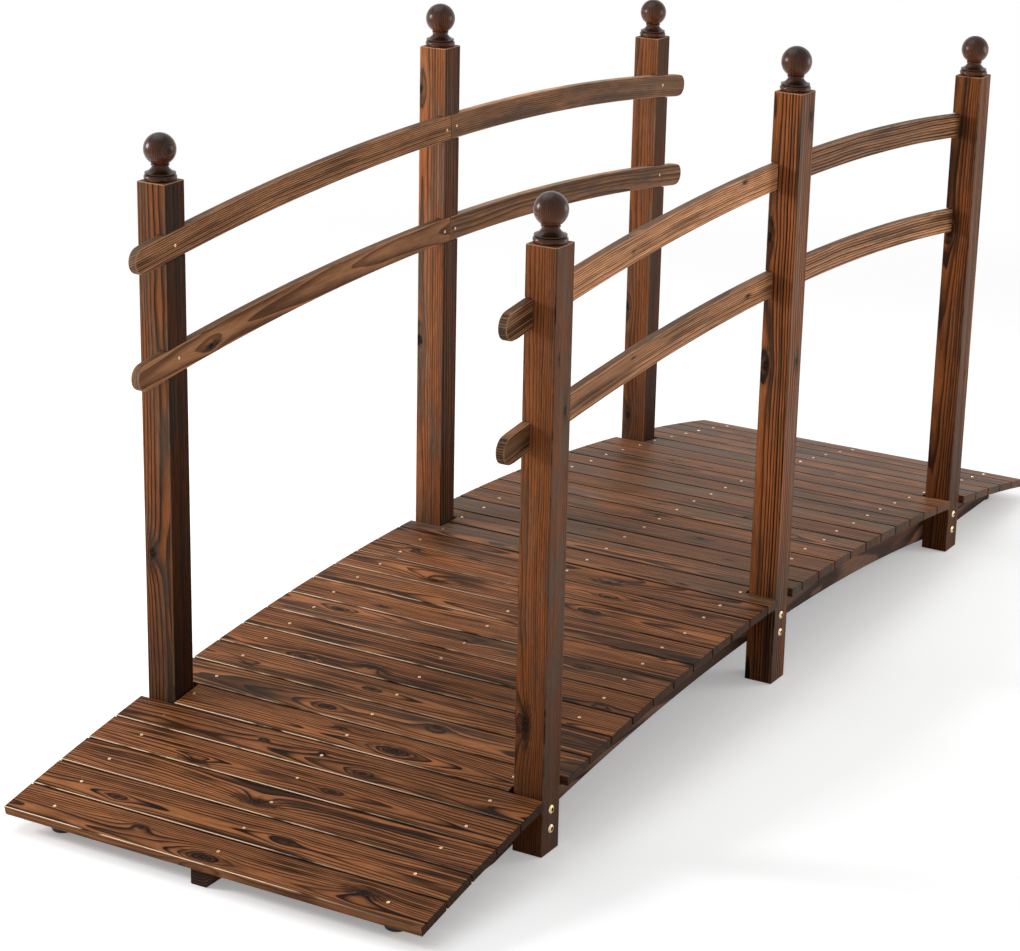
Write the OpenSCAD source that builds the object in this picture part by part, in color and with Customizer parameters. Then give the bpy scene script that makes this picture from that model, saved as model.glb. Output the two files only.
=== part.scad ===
// Arched garden footbridge: a plank deck on three arched stringers, six square posts with
// turned ball finials, and two arched handrails on each side, each in two halves.
// Millimetres. +X runs along the bridge, +Y across it, +Z up, and the ground is at z = 0.

/* [Deck] */
// Height of the walking surface above the ground at the middle of the bridge
deck_crown_h = 156; // [140:1:220]
// Radius of the arch that the walking surface follows
deck_radius = 5650; // [5200:10:7500]
// Width of one plank, measured along the bridge
plank_w = 64; // [56:0.5:66]
// Gap between neighbouring planks
plank_gap = 4; // [2:0.5:7]
// Thickness of a plank
plank_t = 14.5; // [10:0.5:20]
// Length of a full plank, which is the width of the deck
deck_w = 722; // [640:1:900]
// Number of planks from the middle of the bridge to each end
planks_per_half = 17; // [15:1:18]
// Chamfer along the upper edges of a plank
plank_chamfer = 1.5; // [0.5:0.1:3]

/* [Stringers] */
// Thickness of a stringer
stringer_t = 27; // [18:1:40]
// Depth of a stringer at the middle of the bridge
stringer_depth = 75; // [55:1:90]
// Distance of an outer stringer's end from the deck's end
stringer_setback = 38; // [2:1:60]
// Distance of the middle stringer's end from the deck's end
middle_setback = 5; // [2:1:60]
// Distance of the middle stringer from the middle of the deck, towards the left
middle_offset = 14; // [-60:1:60]

/* [Posts] */
// Width of the square posts
post_size = 50; // [40:1:60]
// Distance between neighbouring posts along the bridge
post_spacing = 780; // [740:5:860]
// Clear width between the left and the right posts
walkway_w = 609; // [500:1:800]
// Height of an end post above the upper rail that it carries
end_post_rise = 73; // [20:1:200]
// Height of a middle post above the upper rail that it carries
mid_post_rise = 115; // [20:1:250]
// Chamfer along the edges of a post
post_chamfer = 2; // [0.5:0.1:4]
// Clearance of a plank from the posts that it fits around or between
post_clearance = 4; // [1:0.5:8]

/* [Handrails] */
// Radius of the arch that the upper edge of a rail follows
rail_radius = 6400; // [5000:10:9000]
// Depth of a rail
rail_depth = 42; // [34:1:60]
// Thickness of a rail, which is also the depth of its notch in a post
rail_t = 14; // [8:0.5:22]
// Height of the upper edge of the upper rail at the middle of the bridge
upper_rail_h = 887; // [600:1:1100]
// Distance of the lower rail below the upper rail, from upper edge to upper edge
rail_drop = 177; // [80:1:300]
// Length of a rail's free end past the outer face of an end post
rail_overhang = 76; // [30:1:140]
// Radius of the corners at a rail's free end
rail_end_round = 18; // [5:0.5:20]
// Clearance of a rail above and below in its notch
rail_fit = 1; // [0.1:0.05:1.5]
// Gap between the two halves of a rail at a middle post
rail_butt_gap = 2; // [0.2:0.1:3]

/* [Finials] */
// Diameter of the ball
ball_d = 49; // [36:0.5:64]
// Height of the turned foot under the ball
foot_h = 25; // [20:0.5:40]
// Distance of the foot's widest edge inside the faces of its post
foot_inset = 0.2; // [0:0.1:6]
// Diameter of the neck between the foot and the ball
neck_d = 25; // [16:0.5:32]

/* [Hidden] */

// Facets of the long arches and of the turned finials
arch_facets = 1440;
turned_facets = 96;

// Sides of the bridge and ends of it, as signs along Y and X
left = 1;
right = -1;
near = -1;
middle = 0;
far = 1;

// Overrun of every cut past the face that it opens, and the seat of a plank on a stringer
overrun = 5;
plank_seat = 0.2;

// Deck arch: its centre below ground, the planks' pitch, and angles along the arch
pitch = plank_w + plank_gap;
deck_centre_z = deck_crown_h - deck_radius;
pitch_angle = pitch / deck_radius * 180 / PI;
deck_end_angle = (planks_per_half * pitch - plank_gap / 2) / deck_radius * 180 / PI;
deck_end_x = deck_radius * sin(deck_end_angle);

// Stringers: their upper and lower radii and the outer stringers' distance from the middle
stringer_top_r = deck_radius - plank_t - plank_seat;
stringer_low_r = stringer_top_r - stringer_depth;
stringer_y = (walkway_w - stringer_t) / 2;

// Posts: the rows' distance from the middle, their heights, and the plank between the end posts
post_y = (walkway_w + post_size) / 2;
rail_fall = rail_radius - sqrt(rail_radius * rail_radius - post_spacing * post_spacing);
end_post_h = upper_rail_h - rail_fall + end_post_rise;
mid_post_h = upper_rail_h + mid_post_rise;
post_plank = floor(asin(post_spacing / deck_radius) / pitch_angle);
short_plank_l = walkway_w - 2 * post_clearance;

// Rails: the lower rail's height, and where the free ends lie
lower_rail_h = upper_rail_h - rail_drop;
rail_end_x = post_spacing + post_size / 2 + rail_overhang;
rail_end_angle = asin(rail_end_x / rail_radius);
rail_low_r = rail_radius - rail_depth;

// Turned foot of a finial, from the post upwards, as shares of its height and width
foot_d = post_size - 2 * foot_inset;
foot_ring_share = 0.40;
foot_groove_share = 0.03;
foot_lip_share = 0.05;
foot_flare_share = 0.33;
foot_bead_share = 0.13;
groove_width_share = 0.88;
lip_width_share = 0.94;
bead_width_share = 0.56;
flare_hollow_share = 1.2;

ring_h = foot_h * foot_ring_share;
groove_h = foot_h * foot_groove_share;
lip_h = foot_h * foot_lip_share;
flare_h = foot_h * foot_flare_share;
bead_h = foot_h * foot_bead_share;
lip_z = ring_h + groove_h;
flare_z = lip_z + lip_h;
neck_z = flare_z + flare_h;
lip_r = foot_d * lip_width_share / 2;
bead_r = foot_d * bead_width_share / 2;

// Hollow flare: an arc from the lip to the neck, about a centre outside the foot
flare_span = lip_r - neck_d / 2;
flare_chord = sqrt(flare_span * flare_span + flare_h * flare_h);
flare_r = flare_chord * flare_hollow_share;
flare_offset_share = sqrt(flare_r * flare_r - flare_chord * flare_chord / 4) / flare_chord;
flare_centre = [
    neck_d / 2 + flare_span / 2 + flare_h * flare_offset_share,
    flare_z + flare_h / 2 + flare_span * flare_offset_share,
];

// The ball sits on the bead, where its width equals the bead's core
ball_r = ball_d / 2;
bead_core_r = bead_r - bead_h / 2;
ball_z = foot_h + sqrt(ball_r * ball_r - bead_core_r * bead_core_r);

// Extrudes an outline drawn in X and Z across the bridge, between two distances from the middle
module across(y_from, y_to) {
    translate([0, y_to, 0])
        rotate([90, 0, 0])
            linear_extrude(height = y_to - y_from)
                children();
}

// Outline of an arched band between two radii about a centre on the bridge's middle plane
module arched_band(centre_z, outer_r, inner_r) {
    translate([0, centre_z])
        difference() {
            circle(r = outer_r, $fn = arch_facets);
            circle(r = inner_r, $fn = arch_facets);
        }
}

// Waste at one corner of a rail's free end, outside the corner's round
module corner_waste(centre_r, inward) {
    lean = asin(rail_end_round / centre_r);
    reach = rail_end_round + overrun;
    rotate(90 - rail_end_angle + lean)
        translate([centre_r, 0])
            difference() {
                polygon([
                    [0, 0],
                    [inward * reach, 0],
                    [inward * reach, -reach],
                    [-reach * sin(lean), -reach * cos(lean)],
                ]);
                circle(r = rail_end_round, $fn = turned_facets);
            }
}

// Outline of the far half of a rail: a band of an arch, cut square at the middle, rounded at its end
module rail_outline(top_h, fit = 0) {
    centre_z = top_h - rail_radius;
    difference() {
        intersection() {
            arched_band(centre_z, rail_radius + fit, rail_low_r - fit);
            translate([0, centre_z])
                polygon([
                    [rail_butt_gap / 2, 0],
                    [rail_butt_gap / 2, rail_radius + overrun],
                    [(rail_radius + overrun) * sin(rail_end_angle), rail_radius + overrun],
                    [rail_radius * sin(rail_end_angle), rail_radius * cos(rail_end_angle)],
                    [rail_butt_gap / 2, 0],
                ]);
        }
        translate([0, centre_z]) {
            corner_waste(rail_radius - rail_end_round, 1);
            corner_waste(rail_low_r + rail_end_round, -1);
        }
    }
}

// Notch for a rail in the inner face of a post, open towards the walkway
module rail_notch(side, top_h) {
    inner = walkway_w / 2;
    low = side == left ? inner - overrun : -inner - rail_t;
    across(low, low + rail_t + overrun)
        arched_band(top_h - rail_radius, rail_radius + rail_fit, rail_low_r - rail_fit);
}

// Section of a post with chamfered edges
module post_section() {
    half = post_size / 2;
    flat = half - post_chamfer;
    polygon([
        [half, -flat], [half, flat], [flat, half], [-flat, half],
        [-half, flat], [-half, -flat], [-flat, -half], [flat, -half],
    ]);
}

// Square post, notched on its inner face for the two rails
module post(end, side) {
    height = end == middle ? mid_post_h : end_post_h;
    color("sienna")
        difference() {
            translate([end * post_spacing, side * post_y, 0])
                linear_extrude(height = height)
                    post_section();
            rail_notch(side, upper_rail_h);
            rail_notch(side, lower_rail_h);
        }
}

// Half outline of a turned finial: ring, groove, lip, hollow flare, neck, bead and ball
module finial_outline() {
    ring_r = ring_h / 2;
    square([foot_d / 2 - ring_r, ring_h]);
    translate([foot_d / 2 - ring_r, ring_r])
        circle(r = ring_r, $fn = turned_facets);
    square([foot_d / 2 * groove_width_share, lip_z]);
    translate([0, lip_z])
        square([lip_r, lip_h]);
    difference() {
        translate([0, flare_z])
            square([lip_r, flare_h]);
        translate(flare_centre)
            circle(r = flare_r, $fn = turned_facets);
    }
    square([neck_d / 2, ball_z]);
    translate([bead_core_r, foot_h - bead_h / 2])
        circle(r = bead_h / 2, $fn = turned_facets);
    translate([0, ball_z])
        intersection() {
            circle(r = ball_r, $fn = turned_facets);
            translate([0, -ball_d])
                square([ball_d, 2 * ball_d]);
        }
}

// Turned ball finial on top of a post
module finial(end, side) {
    height = end == middle ? mid_post_h : end_post_h;
    color("saddlebrown")
        translate([end * post_spacing, side * post_y, height])
            rotate_extrude($fn = turned_facets)
                finial_outline();
}

// One half of a handrail, let into the inner faces of the posts
module rail(end, side, top_h) {
    inner = walkway_w / 2;
    low = side == left ? inner : -inner - rail_t;
    color("peru")
        mirror([end == near ? 1 : 0, 0, 0])
            across(low, low + rail_t)
                rail_outline(top_h);
}

// Arched stringer, cut level where it meets the ground
module stringer(y, setback) {
    end_x = deck_end_x - setback;
    color("brown")
        across(y - stringer_t / 2, y + stringer_t / 2)
            intersection() {
                arched_band(deck_centre_z, stringer_top_r, stringer_low_r);
                translate([-end_x, 0])
                    square([2 * end_x, deck_crown_h]);
            }
}

// One straight plank of a given length, lying on the arch at a step from the middle
module plank(step, length) {
    half = plank_w / 2;
    edge = half - plank_chamfer;
    shoulder = plank_t - plank_chamfer;
    translate([0, 0, deck_centre_z])
        rotate([0, (step + 1 / 2) * pitch_angle, 0])
            translate([0, 0, deck_radius - plank_t])
                across(-length / 2, length / 2)
                    polygon([
                        [-half, 0], [half, 0], [half, shoulder],
                        [edge, plank_t], [-edge, plank_t], [-half, shoulder],
                    ]);
}

// Room that the posts take up through the deck, open past the planks' ends
module post_room() {
    room = post_size + 2 * post_clearance;
    inner = walkway_w / 2 - post_clearance;
    reach = deck_w / 2 + overrun - inner;
    for (end = [near, middle, far], side = [left, right])
        translate([end * post_spacing - room / 2, side == left ? inner : -inner - reach, 0])
            cube([room, reach, mid_post_h]);
}

// Planks from one step to another, notched around the posts
module planks(first, last) {
    color("chocolate")
        for (step = [first : last])
            difference() {
                plank(step, deck_w);
                post_room();
            }
}

// Plank that ends between a pair of end posts
module short_plank(step) {
    color("chocolate")
        plank(step, short_plank_l);
}

post(near, left);  // near_left_post
post(near, right);  // near_right_post
post(middle, left);  // mid_left_post
post(middle, right);  // mid_right_post
post(far, left);  // far_left_post
post(far, right);  // far_right_post
finial(near, left);  // near_left_finial
finial(near, right);  // near_right_finial
finial(middle, left);  // mid_left_finial
finial(middle, right);  // mid_right_finial
finial(far, left);  // far_left_finial
finial(far, right);  // far_right_finial
rail(near, left, upper_rail_h);  // near_left_upper_rail
rail(near, right, upper_rail_h);  // near_right_upper_rail
rail(far, left, upper_rail_h);  // far_left_upper_rail
rail(far, right, upper_rail_h);  // far_right_upper_rail
rail(near, left, lower_rail_h);  // near_left_lower_rail
rail(near, right, lower_rail_h);  // near_right_lower_rail
rail(far, left, lower_rail_h);  // far_left_lower_rail
rail(far, right, lower_rail_h);  // far_right_lower_rail
stringer(stringer_y, stringer_setback);  // left_stringer
stringer(middle_offset, middle_setback);  // middle_stringer
stringer(-stringer_y, stringer_setback);  // right_stringer
planks(-planks_per_half, -post_plank - 2);  // near_ramp_planks
short_plank(-post_plank - 1);  // near_post_plank
planks(-post_plank, -2);  // near_bay_planks
planks(-1, 0);  // mid_post_planks
planks(1, post_plank - 1);  // far_bay_planks
short_plank(post_plank);  // far_post_plank
planks(post_plank + 1, planks_per_half - 1);  // far_ramp_planks
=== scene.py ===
"""Arched garden footbridge: stained fir boards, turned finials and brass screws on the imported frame."""

import math
import random
from dataclasses import dataclass, replace

import bmesh
import bpy
from mathutils import Matrix, Vector


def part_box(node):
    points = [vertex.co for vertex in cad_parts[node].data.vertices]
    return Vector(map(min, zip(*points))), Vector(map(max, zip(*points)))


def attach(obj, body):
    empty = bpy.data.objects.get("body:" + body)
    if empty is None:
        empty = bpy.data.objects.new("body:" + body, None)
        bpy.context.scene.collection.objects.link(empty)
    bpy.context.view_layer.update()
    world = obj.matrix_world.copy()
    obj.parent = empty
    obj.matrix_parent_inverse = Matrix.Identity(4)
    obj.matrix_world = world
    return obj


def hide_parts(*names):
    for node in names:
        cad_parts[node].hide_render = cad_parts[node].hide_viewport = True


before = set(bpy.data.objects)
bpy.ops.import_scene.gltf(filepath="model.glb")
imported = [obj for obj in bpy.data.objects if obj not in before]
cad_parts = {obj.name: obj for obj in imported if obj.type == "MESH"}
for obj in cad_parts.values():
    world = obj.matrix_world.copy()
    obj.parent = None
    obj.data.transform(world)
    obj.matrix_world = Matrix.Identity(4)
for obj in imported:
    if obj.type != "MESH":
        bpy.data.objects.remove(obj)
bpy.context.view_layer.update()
scene = bpy.context.scene

# Driving sizes in metres and counts of planks, as the frame's solids have them
DECK_CROWN = 0.156
DECK_RADIUS = 5.650
PLANK_WIDTH = 0.064
PLANK_GAP = 0.004
PLANK_THICK = 0.0145
PLANK_SEAT = 0.0002
PLANKS_PER_HALF = 17
POST_STEP = 11
POST_CLEARANCE = 0.004
STRINGER_DEPTH = 0.075
RAIL_RADIUS = 6.400
RAIL_DEPTH = 0.042
RAIL_FIT = 0.0010

# Sizes and places that the frame's boxes give
POST_LOW, POST_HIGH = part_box("far_right_post")
POST_SIZE = POST_HIGH.x - POST_LOW.x
POST_SPACING = (POST_HIGH.x + POST_LOW.x) / 2
POST_ROW = -(POST_HIGH.y + POST_LOW.y) / 2
WALKWAY = 2 * POST_ROW - POST_SIZE
END_POST_TOP = POST_HIGH.z
UPPER_RAIL_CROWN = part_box("far_right_upper_rail")[1].z
LOWER_RAIL_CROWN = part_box("far_right_lower_rail")[1].z
RAIL_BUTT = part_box("far_right_upper_rail")[0].x
RAIL_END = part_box("far_right_upper_rail")[1].x
DECK_WIDTH = 2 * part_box("far_ramp_planks")[1].y
SHORT_PLANK = 2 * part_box("far_post_plank")[1].y
STRINGER_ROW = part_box("left_stringer")[0].y / 2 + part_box("left_stringer")[1].y / 2
FINIAL_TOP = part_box("far_right_finial")[1].z - END_POST_TOP

# Worked out from those
PITCH = PLANK_WIDTH + PLANK_GAP
DECK_CENTRE = DECK_CROWN - DECK_RADIUS
STRINGER_TOP_R = DECK_RADIUS - PLANK_THICK - PLANK_SEAT

# Eased edges, in metres: as sawn, along a plank's top, and along a post or rail
SAWN_EDGE = 0.0005
PLANK_EDGE = 0.0010
POST_EDGE = 0.0017
POST_TOP_EDGE = 0.0013
RAIL_EDGE = 0.0014

SIDES = {"left": 1, "right": -1}
ENDS = {"near": -1, "mid": 0, "far": 1}

# Slack in metres for points that touch, or nearly do
TOUCH = 1e-6
SLACK = 1e-4

# Turns of a surface in degrees: the least at an eased edge and a square one, the most that is shaded smooth
SHARP_TURN = 40.0
SQUARE_TURN = 60.0
SMOOTH_TURN = 20.0

# How much of a face's normal lies along an axis that the face looks along, or only leans towards
FACING = 0.6
TILTED = 0.3

SEED = 20
rng = random.Random(SEED)


# Node helpers

def put(tree, kind, inputs=(), **settings):
    """Adds a node, sets its properties, and links or fills its inputs by name or number."""
    node = tree.nodes.new(kind)
    for key, value in settings.items():
        setattr(node, key, value)
    for key, value in dict(inputs).items():
        socket = node.inputs[key]
        if isinstance(value, bpy.types.NodeSocket):
            tree.links.new(value, socket)
        else:
            socket.default_value = value
    return node


def calc(tree, operation, *values):
    """One math node's result."""
    return put(tree, "ShaderNodeMath", enumerate(values), operation=operation).outputs[0]


def times(tree, first, second):
    """Two numbers multiplied."""
    return calc(tree, "MULTIPLY", first, second)


def fade(tree, value, start, end):
    """0 up to start and 1 from end, smooth between them."""
    reach = {"Value": value, "From Min": start, "From Max": end}
    return put(tree, "ShaderNodeMapRange", reach, interpolation_type="SMOOTHSTEP").outputs[0]


def between(tree, share, least, most):
    """A number that goes from least to most as a share goes from 0 to 1."""
    return calc(tree, "MULTIPLY_ADD", share, most - least, least)


def dim(tree, colour, share):
    """A colour made darker or lighter by a share."""
    return put(tree, "ShaderNodeVectorMath", {0: colour, "Scale": share}, operation="SCALE").outputs[0]


@dataclass
class Figure:
    """A soft figure in a surface: waves a metre along the grain and across it, and how fine it is."""

    along: float
    across: float
    detail: float = 2.0
    roughness: float = 0.5


FIGURE_MIDDLE = 0.5


def figure(tree, vector, waves):
    """Soft noise about its middle in the waves of a figure."""
    scale = (waves.along, waves.across, waves.across)
    drawn = put(tree, "ShaderNodeVectorMath", {0: vector, 1: scale}, operation="MULTIPLY").outputs[0]
    waviness = {"Vector": drawn, "Scale": 1.0, "Detail": waves.detail, "Roughness": waves.roughness}
    return put(tree, "ShaderNodeTexNoise", waviness).outputs[0]


def by_chance(tree, value):
    """A random number from 0 to 1 for each value."""
    return put(tree, "ShaderNodeTexWhiteNoise", {"W": value}, noise_dimensions="1D").outputs["Value"]


def blend_colour(tree, share, first, second):
    """Two colours mixed by a share."""
    return put(tree, "ShaderNodeMix", {0: share, 6: first, 7: second}, data_type="RGBA").outputs[2]


def attribute(tree, name, output="Vector"):
    """What the boards carry under a name."""
    node = put(tree, "ShaderNodeAttribute", attribute_name=name, attribute_type="GEOMETRY")
    return node.outputs[output]


def in_view(tree):
    """1 for rays from the camera and off glossy surfaces, 0 for those that only carry light."""
    path = put(tree, "ShaderNodeLightPath").outputs
    return calc(tree, "MAXIMUM", path["Is Camera Ray"], path["Is Glossy Ray"])


def start_material(name):
    """A material with an empty node tree, and that tree."""
    material = bpy.data.materials.new(name)
    material.use_nodes = True
    material.node_tree.nodes.clear()
    return material, material.node_tree


def close_material(material, inputs):
    """Gives a material its surface, and hands it back."""
    surface = put(material.node_tree, "ShaderNodeBsdfPrincipled", inputs)
    put(material.node_tree, "ShaderNodeOutputMaterial", {0: surface.outputs[0]})
    return material


def srgb(red, green, blue):
    """A colour written in 0 to 255, as the linear values that sockets take."""
    def linear(c):
        c /= 255
        return c / 12.92 if c <= 0.04045 else ((c + 0.055) / 1.055) ** 2.4
    return (linear(red), linear(green), linear(blue), 1.0)


# Wood

KNOTS = ("knot_a", "knot_b", "knot_c", "knot_d")
KNOT_PLANES = ("across", "depth")
FLAT_KNOT_PLANES = ("across",) * len(KNOTS)
POST_KNOT_PLANES = ("across", "across", "depth", "depth")


@dataclass
class Finish:
    """How one kind of board is stained and polished, and where painted shade and painted highlights fall on
    it.
    """

    early: tuple
    deep: tuple
    late: tuple
    worn: tuple
    char: float = 0.6
    ring: float = 0.0042
    wander: float = 0.003
    sway: float = 0.022
    knot_push: float = 2.6
    roughness: float = 0.46
    sheen: float = 0.04
    coat: float = 0.0
    patina: tuple = srgb(110, 92, 77)
    knot_planes: tuple = FLAT_KNOT_PLANES
    painted_highlight_side: tuple = ()
    painted_shade_side: tuple = ()
    painted_shade_foot: tuple = ()


# Knots: colours, and reaches in shares of a knot's own size
KNOT_CORE = srgb(20, 12, 10)
KNOT_RING = srgb(62, 39, 28)
KNOT_RINGS = 12.0
KNOT_STRETCH = 0.55
KNOT_REACH = 2.2
KNOT_RAGGED = 1.1
KNOT_EDGE = (1.1, 0.7)
KNOT_LEAST = 1e-5
HEM_STRETCH = 0.26
HEM_RAGGED = 2.0
HEM_EDGE = (2.3, 0.7)
HEM_LIGHT = (1.0, 0.2)

# Figures in the wood
SLOW_BEND = Figure(2.2, 13.0, detail=1.0)
QUICK_BEND = Figure(7.0, 44.0, detail=1.0)
KNOT_OUTLINE = Figure(70.0, 190.0)
CHAR_PATCH = Figure(5.0, 22.0)
STAIN_MOTTLE = Figure(3.5, 30.0, detail=3.0, roughness=0.6)
FIBRES = Figure(26.0, 900.0, roughness=0.65)
# Patches in which edges show wear and a painted highlight
RUBBED_AND_LIT_PATCH = Figure(14.0, 14.0, detail=3.0)

# Growth rings: share of a ring's width and how dark it is there, and what chance gives each ring
RING_STOPS = ((0.0, 0.35), (0.06, 0.0), (0.4, 0.05), (0.6, 0.5), (0.74, 1.0), (0.96, 1.0), (1.0, 0.35))
RING_SHAPES = (0.55, 1.95)
RING_SHAPE_SEED = 0.5
RING_STRENGTHS = (0.6, 1.0)
CHAR_SEEDS = (1.37, 5.1)
CHAR_CHANCE = (0.5, 0.85)
CHAR_EDGE = (0.42, 0.66)

# Stain, weather, wear, painted shade and painted highlight: where each sets in, and how much light it leaves
RING_DEEPENS = 0.5
MOTTLE_LIFT = 0.25
DEEP_EDGE = (0.15, 0.85)
FIBRE_EDGE = (0.35, 0.68)
FIBRE_LIGHT = (0.72, 1.22)
# Painted shade on one side of the deck: the slant of its fade across the deck, and how much light it leaves
# from the shaded side to the lit side
DIM_SLANT = (0.4, 1.0, 0.0)
DIM_LIGHT = (0.82, 1.02)
# Painted shade near the foot of the posts: the light it leaves at the foot and higher up
FOOT_LIGHT = (0.5, 1.0)
GREY_STREAKS = (0.5, 1.5)
# Edge wear with a painted highlight: where its patches set in, and how much of it stays from the side away
# from the light to the side towards it
RUBBED_AND_LIT_EDGE = (0.3, 0.55)
HIGHLIGHT_REACH = (0.07, 1.0)

# Brushed relief and polish
RING_RELIEF = -0.5
FIBRE_RELIEF = 0.6
RELIEF_STRENGTH = 0.35
RELIEF_DEPTH = 0.0006
GLOSS_SPREAD = 0.08
COAT_ROUGHNESS = 0.25
COAT_IOR = 1.3


def knot_field(tree, name, along, other, ragged, push_share):
    """How far a knot pushes the rings aside, how much of a point lies in it, its rings and its dark hem."""
    place = put(tree, "ShaderNodeSeparateXYZ", {0: attribute(tree, name)})
    size = calc(tree, "ADD", place.outputs[2], KNOT_LEAST)
    run = calc(tree, "SUBTRACT", along, place.outputs[0])
    rise = calc(tree, "SUBTRACT", other, place.outputs[1])

    def sizes_away(stretch_share):
        """Distance from the knot's middle in its own sizes, drawn out along the grain."""
        drawn = times(tree, run, stretch_share)
        squares = calc(tree, "MULTIPLY_ADD", drawn, drawn, times(tree, rise, rise))
        return calc(tree, "DIVIDE", calc(tree, "SQRT", squares), size)

    inside = sizes_away(KNOT_STRETCH)
    share = calc(tree, "DIVIDE", inside, KNOT_REACH)
    spread = calc(tree, "MULTIPLY_ADD", share, share, 1.0)
    push = calc(tree, "DIVIDE", times(tree, size, push_share), spread)
    rough = calc(tree, "ADD", inside, ragged)
    core = fade(tree, rough, *KNOT_EDGE)
    rings = fade(tree, calc(tree, "SINE", times(tree, rough, KNOT_RINGS)), 0.0, 1.0)
    hem = fade(tree, calc(tree, "MULTIPLY_ADD", ragged, HEM_RAGGED, sizes_away(HEM_STRETCH)), *HEM_EDGE)
    return push, core, times(tree, rings, core), hem


def bent_by_growth(tree, grain, finish):
    """Distance from the pith, bent by waves and knots, and the knots' cores, rings and dark hems."""
    along, across, depth = put(tree, "ShaderNodeSeparateXYZ", {0: grain}).outputs
    squares = calc(tree, "ADD", times(tree, across, across), times(tree, depth, depth))
    bent = calc(tree, "SQRT", squares)
    bent = calc(tree, "MULTIPLY_ADD", figure(tree, grain, SLOW_BEND), finish.sway, bent)
    bent = calc(tree, "MULTIPLY_ADD", figure(tree, grain, QUICK_BEND), finish.wander, bent)
    rough = calc(tree, "SUBTRACT", figure(tree, grain, KNOT_OUTLINE), FIGURE_MIDDLE)
    ragged = times(tree, rough, KNOT_RAGGED)
    cores, core_rings, hems = 0.0, 0.0, 0.0
    planes = {"across": across, "depth": depth}
    for knot, plane in zip(KNOTS, finish.knot_planes):
        push, core, rings, hem = knot_field(tree, knot, along, planes[plane], ragged, finish.knot_push)
        shown = attribute(tree, f"{plane}_knots", "Fac")
        bent = calc(tree, "SUBTRACT", bent, push)
        cores = calc(tree, "MAXIMUM", times(tree, core, shown), cores)
        core_rings = calc(tree, "MAXIMUM", rings, core_rings)
        hems = calc(tree, "MAXIMUM", times(tree, hem, shown), hems)
    return bent, cores, core_rings, hems


def ring_band(tree, share):
    """How dark a growth ring is: pale at first, then a thin dark band."""
    ramp = put(tree, "ShaderNodeValToRGB", {0: share})
    points = ramp.color_ramp.elements
    points[0].position, points[-1].position = RING_STOPS[0][0], RING_STOPS[-1][0]
    for position, _ in RING_STOPS[1:-1]:
        points.new(position)
    for point, (_, level) in zip(points, RING_STOPS):
        point.color = (level, level, level, 1.0)
    return ramp.outputs[0]


def ring_light(tree, bent, patch, hems, finish):
    """The share of each ring's width, and how light the wood is: dark bands, charred rings and hems."""
    rings = calc(tree, "DIVIDE", bent, finish.ring)
    ring = calc(tree, "FLOOR", rings)
    shape = between(tree, by_chance(tree, calc(tree, "ADD", ring, RING_SHAPE_SEED)), *RING_SHAPES)
    share = calc(tree, "POWER", calc(tree, "FRACT", rings), shape)
    strength = between(tree, by_chance(tree, ring), *RING_STRENGTHS)
    lines = attribute(tree, "lines", "Fac")
    late = times(tree, times(tree, ring_band(tree, share), strength), lines)
    charred = fade(tree, by_chance(tree, calc(tree, "MULTIPLY_ADD", ring, *CHAR_SEEDS)), *CHAR_CHANCE)
    depth = times(tree, lines, finish.char)
    char = times(tree, times(tree, charred, patch), depth)
    light = times(tree, calc(tree, "SUBTRACT", 1.0, late), calc(tree, "SUBTRACT", 1.0, char))
    return share, times(tree, light, between(tree, hems, *HEM_LIGHT))


def stain_light(tree, fibres, place, finish):
    """How light the stain is: fine fibres, the face's own stain, which holds some painted shade, painted
    shade on one side, and painted shade towards the foot.
    """
    fleck = between(tree, fade(tree, fibres, *FIBRE_EDGE), *FIBRE_LIGHT)
    stained = times(tree, fleck, attribute(tree, "stain", "Fac"))
    # Painted shade: darker towards one side
    if finish.painted_shade_side:
        slant = put(tree, "ShaderNodeVectorMath", {0: place, 1: DIM_SLANT}, operation="DOT_PRODUCT")
        lit = between(tree, fade(tree, slant.outputs["Value"], *finish.painted_shade_side), *DIM_LIGHT)
        stained = times(tree, stained, lit)
    # Painted shade: darker towards the foot
    if finish.painted_shade_foot:
        up = put(tree, "ShaderNodeSeparateXYZ", {0: place}).outputs[2]
        unshaded = between(tree, fade(tree, up, *finish.painted_shade_foot), *FOOT_LIGHT)
        stained = times(tree, stained, unshaded)
    return stained


def edge_wear_and_highlight(tree, grain, place, finish):
    """How far the eased edges are rubbed pale and given a painted highlight, in patches, fading off to one
    side where a finish asks for it.
    """
    rubbed_and_lit = fade(tree, figure(tree, grain, RUBBED_AND_LIT_PATCH), *RUBBED_AND_LIT_EDGE)
    wear_and_highlight = times(tree, attribute(tree, "worn", "Fac"), rubbed_and_lit)
    # Painted highlight: it fades off towards one side of the deck
    if finish.painted_highlight_side:
        over = put(tree, "ShaderNodeSeparateXYZ", {0: place}).outputs[1]
        wear_and_highlight = times(tree, wear_and_highlight, between(tree, fade(tree, over, *finish.painted_highlight_side), *HIGHLIGHT_REACH))
    return calc(tree, "MINIMUM", wear_and_highlight, 1.0)


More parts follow.
